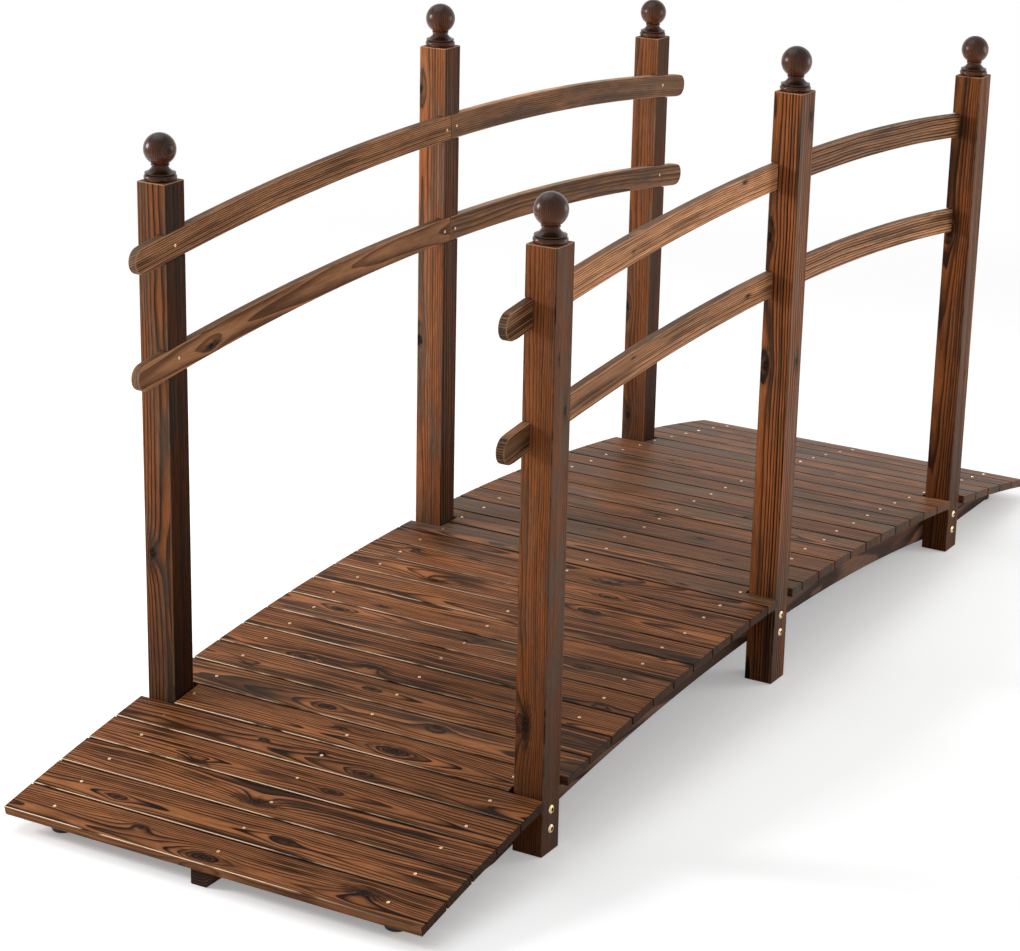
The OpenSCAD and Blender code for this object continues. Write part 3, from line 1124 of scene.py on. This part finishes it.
def rail(end, side, level, cut):
    """Half of an arched handrail, with a rounded free end."""
    node = f"{end}_{side}_{level}_rail"
    low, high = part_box(node)
    crown = UPPER_RAIL_CROWN if level == "upper" else LOWER_RAIL_CROWN
    centre_z = crown - RAIL_RADIUS
    sign = ENDS[end]
    start = math.asin(RAIL_BUTT / RAIL_RADIUS)
    finish = math.asin(RAIL_END / RAIL_RADIUS)
    bm = start_board()
    arched_bar(
        bm, low.y, high.y, centre_z, RAIL_RADIUS, RAIL_RADIUS - RAIL_DEPTH,
        sign * start, sign * finish, RAIL_STEPS,
    )

    def on_end(edge):
        """Whether an edge lies across the rail at its free end."""
        turns = [math.atan2(sign * v.co.x, v.co.z - centre_z) for v in edge.verts]
        across = abs(edge.verts[0].co.y - edge.verts[1].co.y) > SLACK
        return across and all(abs(turn - finish) < END_SLACK for turn in turns)

    free_end = [e for e in bm.edges if on_end(e)]
    under, over = sorted(free_end, key=lambda e: e.verts[0].co.z)
    bmesh.ops.translate(bm, verts=under.verts, vec=(0, 0, TAPER_UNDER))
    bmesh.ops.translate(bm, verts=over.verts, vec=(0, 0, -TAPER_OVER))
    ease(bm, [under], NOSE_UNDER, segments=NOSE_UNDER_STEPS)
    over = max((e for e in bm.edges if on_end(e)), key=lambda e: e.verts[0].co.z)
    ease(bm, [over], NOSE_OVER, segments=NOSE_OVER_STEPS)
    ease(bm, sharp_edges(bm), RAIL_EDGE, worn=RAIL_WEAR_AND_HIGHLIGHT)
    middle_y = (low.y + high.y) / 2

    def along_arch(co):
        """Place of a point along the rail, up from its upper edge, and across it."""
        turn = math.atan2(co.x, co.z - centre_z)
        reach = math.hypot(co.x, co.z - centre_z)
        return turn * RAIL_RADIUS, reach - RAIL_RADIUS, co.y - middle_y

    lay_grain(bm, cut, along_arch, lambda face: rail_look(face, end, side))
    place_piece(bm, f"{node}_timber", rail_wood, "rail_wood", node)


# Free ends: on the left, lighter and greyer as a painted highlight; on the right, darker end grain
RAIL_ENDS = {
    "left": Look(stain=1.0, lines=2.0, patina=0.65),
    "right": Look(stain=0.4, lines=1.5, patina=0.4),
}
RAIL_TOP = Look(stain=0.55, lines=0.5, patina=0.5)
# Top of the far left upper rail: pale grey as a painted reflection
RAIL_TOP_REFLECTION = Look(stain=2.6, lines=0.3, patina=0.85)
# Right rails past the posts: painted shadow of the posts
SHADED_RAIL_STUB = Look(stain=0.45, lines=1.3)
END_TILT = 0.35
TOP_TILT = 0.8


def rail_look(face, end, side):
    """What a face of a handrail looks like, by the way it faces and where it lies: a painted highlight on
    the left ends, painted shadow on the right stubs, and a painted reflection on one top.
    """
    if abs(face.normal.x) > END_TILT:
        return RAIL_ENDS[side]
    if side == "right" and abs(face.calc_center_median().x) > POST_SPACING + POST_SIZE / 2:
        return SHADED_RAIL_STUB
    if face.normal.z > TOP_TILT:
        return RAIL_TOP_REFLECTION if (end, side) == ("far", "left") else RAIL_TOP
    return PLAIN_LOOK


# Chance in a rail: its place in the log, lean, rings and stain
RAIL_SIDE = (0.06, 0.1)
RAIL_HEART = (-0.03, 0.03)
RAIL_LEAN = (-0.004, 0.004)
RAIL_RINGS = (0.95, 1.1)
RAIL_STAIN = (0.95, 1.1)


def rail_cut(**changes):
    """A rail sawn so that the rings lie along it."""
    cut = Cut(
        side=-rng.uniform(*RAIL_SIDE),
        heart=rng.uniform(*RAIL_HEART),
        lean=rng.uniform(*RAIL_LEAN),
        rings=rng.uniform(*RAIL_RINGS),
        stain=rng.uniform(*RAIL_STAIN),
        shift=rng.uniform(*LOG_SHIFT),
    )
    return replace(cut, **changes)


RAIL_CUTS = {
    "near_left_upper": rail_cut(rings=1.35, stain=1.0, lines=0.95),
    "near_left_lower": rail_cut(
        side=-0.020, heart=0.030, lean=0.012, stain=0.85, lines=0.45, knots=((-0.700, -0.0285, 0.004),),
    ),
    "near_right_upper": rail_cut(
        rings=1.2, stain=1.66, lines=0.85, knots=((-0.146, -0.006, 0.002), (-0.514, -0.023, 0.0015)),
    ),
    "near_right_lower": rail_cut(
        rings=1.2, stain=1.25, lines=1.0, patina=0.04,
        knots=((-0.115, -0.019, 0.002), (-0.503, -0.010, 0.0015)),
    ),
    "far_left_upper": rail_cut(rings=1.3, stain=0.77, lines=0.6, patina=0.4),
    "far_left_lower": rail_cut(side=-0.050, heart=0.050, lean=0.003, stain=0.72, lines=0.6, patina=0.35),
    "far_right_upper": rail_cut(stain=0.72),
    "far_right_lower": rail_cut(stain=0.95),
}

for name, cut in RAIL_CUTS.items():
    rail(*name.split("_"), cut)


# Screws

SCREW_WIDTH = 0.0050
SCREW_RISE = 0.0009
SCREW_RECESS = 0.0008
HEAD_CELLS = 5
RIM_SHARE = 0.8
RECESS_SHARE = 0.52
HEAD_FLARE = 1.06


def screw_head(bm, place):
    """A low round head with a cross recess, lying on a surface that faces up before it is placed."""
    half = SCREW_WIDTH / 2
    verts = bmesh.ops.create_grid(bm, x_segments=HEAD_CELLS, y_segments=HEAD_CELLS, size=half)["verts"]
    for vert in verts:
        if max(abs(vert.co.x), abs(vert.co.y)) > half * RIM_SHARE:
            vert.co = vert.co.normalized() * half
        else:
            vert.co *= RECESS_SHARE
    arm = half * RECESS_SHARE / HEAD_CELLS
    cross = [
        face for face in {f for v in verts for f in v.link_faces}
        if min(abs(face.calc_center_median().x), abs(face.calc_center_median().y)) < arm
        and all(v.co.length < half * RIM_SHARE for v in face.verts)
    ]
    rim = {e for v in verts for e in v.link_edges if e.is_boundary}
    made = bmesh.ops.extrude_edge_only(bm, edges=list(rim))
    skirt = new_points(made)
    sunk = bmesh.ops.extrude_face_region(bm, geom=cross)
    floor_verts = new_points(sunk)
    bmesh.ops.delete(bm, geom=cross, context="FACES_ONLY")
    bmesh.ops.scale(bm, verts=skirt, vec=(HEAD_FLARE, HEAD_FLARE, 1))
    bmesh.ops.translate(bm, verts=verts, vec=(0, 0, SCREW_RISE))
    bmesh.ops.translate(bm, verts=floor_verts, vec=(0, 0, SCREW_RISE - SCREW_RECESS))
    recess = bm.faces.layers.float["recess"]
    for face in {f for v in floor_verts for f in v.link_faces}:
        face[recess] = 1.0
    bmesh.ops.transform(bm, matrix=place, verts=[*verts, *skirt, *floor_verts])


BOLT_WIDTH = 0.0135
BOLT_RISE = 0.0024
BOLT_SOCKET = 0.0062
BOLT_DEPTH = 0.0020
BOLT_TURNS = 24
DOME_SHOULDER = (0.72, 0.86)
DOME_SIDE = (0.93, 0.45)


def bolt_head(bm, place):
    """A domed bolt head with a round socket, lying on a surface that faces up before it is placed."""
    half, socket = BOLT_WIDTH / 2, BOLT_SOCKET / 2
    profile = [
        (0, BOLT_RISE - BOLT_DEPTH),
        (socket, BOLT_RISE - BOLT_DEPTH),
        (socket, BOLT_RISE),
        *((half * out, BOLT_RISE * up) for out, up in (DOME_SHOULDER, DOME_SIDE)),
        (half, 0),
    ]
    whole = turn_on_lathe(bm, profile, BOLT_TURNS)
    recess = bm.faces.layers.float["recess"]
    for face in {f for v in whole for f in v.link_faces}:
        if all(v.co.xy.length < socket + SLACK for v in face.verts):
            face[recess] = 1.0
    bmesh.ops.transform(bm, matrix=place, verts=whole)


def start_fasteners():
    """An empty mesh that marks the recesses of its heads."""
    bm = bmesh.new()
    bm.faces.layers.float.new("recess")
    return bm


def place_fasteners(bm, name, material):
    """Makes the piece of a group of heads."""
    face_outward(bm)
    place_piece(bm, name, material, "screw_brass")


def facing(point, direction):
    """A place on a surface that faces a direction, with a chance turn about it."""
    turn = Vector(direction).to_track_quat("Z", "Y").to_matrix().to_4x4()
    return Matrix.Translation(point) @ turn @ Matrix.Rotation(rng.uniform(0, math.tau), 4, "Z")


# How far the screws stray, where they lie in a rail's depth, and their distance from its butt
STRAY_ALONG = 0.004
STRAY_ACROSS = 0.003
RAIL_STRAY = 0.003
RAIL_SCREW_SHARES = (0.44, 0.56)
BUTT_SCREW = 0.017

deck_screws = start_fasteners()
for step in range(-PLANKS_PER_HALF, PLANKS_PER_HALF):
    for row in (-STRINGER_ROW, 0.0, STRINGER_ROW):
        along = rng.uniform(-STRAY_ALONG, STRAY_ALONG)
        spot = Vector((along, row + rng.uniform(-STRAY_ACROSS, STRAY_ACROSS), 0))
        screw_head(deck_screws, plank_place(step) @ facing(spot, (0, 0, 1)))
place_fasteners(deck_screws, "deck_screws", screw_brass)

rail_screws = start_fasteners()
for sign in SIDES.values():
    for crown in (UPPER_RAIL_CROWN, LOWER_RAIL_CROWN):
        for x in (-POST_SPACING, -BUTT_SCREW, BUTT_SCREW, POST_SPACING):
            height = rail_height(crown, x, RAIL_RADIUS) - RAIL_DEPTH * rng.uniform(*RAIL_SCREW_SHARES)
            spot = Vector((x + rng.uniform(-RAIL_STRAY, RAIL_STRAY), sign * WALKWAY / 2, height))
            screw_head(rail_screws, facing(spot, (0, -sign, 0)))
place_fasteners(rail_screws, "rail_screws", screw_brass)

# Heights of the bolts in each post
POST_BOLTS = {"near": (0.069, 0.038), "mid": (0.118, 0.087), "far": (0.070, 0.039)}
post_bolts = start_fasteners()
for end, heights in POST_BOLTS.items():
    for sign in SIDES.values():
        for height in heights:
            spot = Vector((ENDS[end] * POST_SPACING, sign * (POST_ROW + POST_SIZE / 2), height))
            bolt_head(post_bolts, facing(spot, (0, sign, 0)))
place_fasteners(post_bolts, "post_bolts", bolt_brass)


# Foot caps

CAP_RADIUS = 0.0180
CAP_HEIGHT = 0.0090
CAP_ROUND = 0.0030
CAP_INSET = 0.0110
CAP_TURNS = 32
CAP_ROUND_STEPS = 3
RUBBER_BLACK = srgb(14, 12, 12)
RUBBER_GREY = srgb(34, 31, 30)
RUBBER_BLOOM = Figure(260.0, 260.0)
BLOOM_EDGE = (0.4, 0.75)
RUBBER_ROUGHNESS = 0.2


def rubber(name):
    """Black rubber with a faint bloom."""
    material, tree = start_material(name)
    place = put(tree, "ShaderNodeTexCoord").outputs["Object"]
    bloom = fade(tree, figure(tree, place, RUBBER_BLOOM), *BLOOM_EDGE)
    colour = blend_colour(tree, bloom, RUBBER_BLACK, RUBBER_GREY)
    return close_material(material, {"Base Color": colour, "Roughness": RUBBER_ROUGHNESS})


foot_caps = start_board()
cap_low, cap_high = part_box("left_stringer")
for x in (cap_low.x + CAP_INSET, cap_high.x - CAP_INSET):
    for sign in SIDES.values():
        bmesh.ops.create_cone(
            foot_caps, cap_ends=True, segments=CAP_TURNS,
            radius1=CAP_RADIUS, radius2=CAP_RADIUS, depth=CAP_HEIGHT,
            matrix=Matrix.Translation((x, sign * STRINGER_ROW, CAP_HEIGHT / 2)),
        )
rims = [e for e in foot_caps.edges if abs(e.verts[0].co.z - e.verts[1].co.z) < TOUCH]
ease(foot_caps, rims, CAP_ROUND, segments=CAP_ROUND_STEPS)
place_piece(foot_caps, "foot_caps", rubber("black_foot_rubber"), "foot_rubber")


# Stage

FLOOR_SIZE = 9.0
FLOOR_DROP = 0.0005
FLOOR_FADE = (1.9, 3.6)
FLOOR_WHITE = (0.92, 0.92, 0.92, 1.0)
FLOOR_GLOW = 0.27


def floor_material(name):
    """A matt white floor that keeps the object's shadow and fades into the white backdrop."""
    material, tree = start_material(name)
    matt = put(tree, "ShaderNodeBsdfDiffuse", {"Color": FLOOR_WHITE})
    lift = put(tree, "ShaderNodeEmission", {"Strength": times(tree, in_view(tree), FLOOR_GLOW)})
    both = put(tree, "ShaderNodeAddShader", {0: matt.outputs[0], 1: lift.outputs[0]})
    place = put(tree, "ShaderNodeTexCoord").outputs["Object"]
    away = put(tree, "ShaderNodeVectorMath", {0: place}, operation="LENGTH").outputs["Value"]
    clear = put(tree, "ShaderNodeBsdfTransparent")
    faded = put(
        tree,
        "ShaderNodeMixShader",
        {0: fade(tree, away, *FLOOR_FADE), 1: both.outputs[0], 2: clear.outputs[0]},
    )
    put(tree, "ShaderNodeOutputMaterial", {0: faded.outputs[0]})
    return material


floor_mesh = bmesh.new()
bmesh.ops.create_grid(floor_mesh, x_segments=1, y_segments=1, size=FLOOR_SIZE / 2)
bmesh.ops.translate(floor_mesh, verts=floor_mesh.verts, vec=(0, 0, -FLOOR_DROP))
floor = add_object(floor_mesh, "studio_floor", floor_material("studio_floor_white"))

SKY_LIGHT = 0.5
SKY_WHITE = (1, 1, 1, 1)
world = bpy.data.worlds.new("studio")
world.use_nodes = True
scene.world = world
sky = world.node_tree
sky.nodes.clear()
glass = put(sky, "ShaderNodeLightPath").outputs["Is Transmission Ray"]
seen = calc(sky, "MAXIMUM", in_view(sky), glass)
level = between(sky, seen, SKY_LIGHT, 1.0)
backdrop = put(sky, "ShaderNodeBackground", {"Color": SKY_WHITE, "Strength": level})
put(sky, "ShaderNodeOutputWorld", {0: backdrop.outputs[0]})

# Studio lights: place, the point they face, width in metres and power in watts
SOFTBOXES = {
    "left_softbox": ((-2.2, 3.4, 1.7), (0, 0, 0.4), 1.0, 110),
    "right_softbox": ((1.7, -2.4, 1.0), (0, 0, 0.5), 1.2, 22),
    "overhead_softbox": ((-0.3, 1.2, 4.0), (0, 0, 0), 3.0, 48),
}


def softbox(name, place, target, size, power):
    """A square studio light that faces a point."""
    light = bpy.data.lights.new(name, "AREA")
    light.shape = "SQUARE"
    light.size = size
    light.energy = power
    lamp = bpy.data.objects.new(name, light)
    lamp.location = place
    lamp.rotation_euler = (Vector(target) - Vector(place)).to_track_quat("-Z", "Y").to_euler()
    scene.collection.objects.link(lamp)


for name, settings in SOFTBOXES.items():
    softbox(name, *settings)

# The photograph's viewing angle: place in metres, turn in degrees, lens and sensor in millimetres
CAMERA_PLACE = (-4.0643, -2.1670, 1.8333)
CAMERA_TURN = (70.810, -1.529, -60.773)
CAMERA_LENS = 99.84
CAMERA_SENSOR = 36.0
CAMERA_SHIFT = (-0.0573, 0.0357)

camera_data = bpy.data.cameras.new("photo_camera")
camera_data.sensor_fit = "HORIZONTAL"
camera_data.sensor_width = CAMERA_SENSOR
camera_data.lens = CAMERA_LENS
camera_data.shift_x, camera_data.shift_y = CAMERA_SHIFT
camera = bpy.data.objects.new("photo_camera", camera_data)
camera.location = CAMERA_PLACE
camera.rotation_euler = [math.radians(turn) for turn in CAMERA_TURN]
scene.collection.objects.link(camera)
scene.camera = camera

scene.view_settings.view_transform = "Standard"
